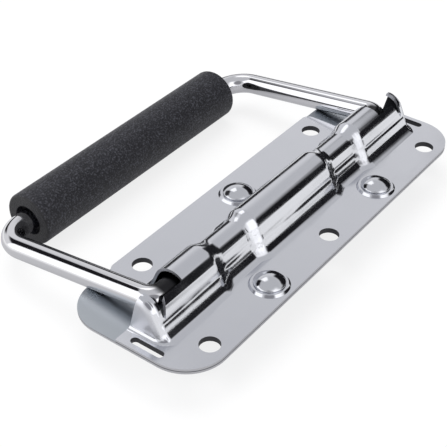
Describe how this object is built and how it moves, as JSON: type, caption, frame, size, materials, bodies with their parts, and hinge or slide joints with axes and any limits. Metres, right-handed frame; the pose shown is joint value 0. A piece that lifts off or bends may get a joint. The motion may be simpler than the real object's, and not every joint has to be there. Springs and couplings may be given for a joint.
{
  "type": "folding handle",
  "caption": "Spring-loaded folding chest handle: a round-bar bail with a black rubber grip, hinged in the ridge of a riveted two-sheet steel plate with screw holes.",
  "frame": {"origin": "middle of the lower sheet's back face, under the pivot line", "axes": "+X along the ridge and the pivot line, +Y from the pivot line to the grip of the folded bail, +Z out of the panel that the handle is screwed to"},
  "size_m": [0.165, 0.1069, 0.0259],
  "materials": {
    "plated_sheet": "bright",
    "plated_bar": "bright",
    "plated_rivet": "bright",
    "spring_steel": "satin",
    "black_rubber": "satin"
  },
  "bodies": {
    "plate": {"base_plate": "plated_sheet", "housing_cover": "plated_sheet", "rivet_left": "plated_rivet", "rivet_right_near": "plated_rivet", "rivet_right_far": "plated_rivet", "spring_near": "spring_steel", "spring_far": "spring_steel"},
    "bail": {"bail": "plated_bar", "grip": "black_rubber"}
  },
  "joints": [
    {"name": "bail_swing", "type": "hinge", "parent": "plate", "child": "bail", "pos_m": [0, 0, 0.0088], "axis": [1, 0, 0], "range_deg": [0, 97.5], "stiffness_Nm_per_rad": 0.15, "springref_deg": -28.65, "deforming": ["spring_near", "spring_far"]}
  ]
}
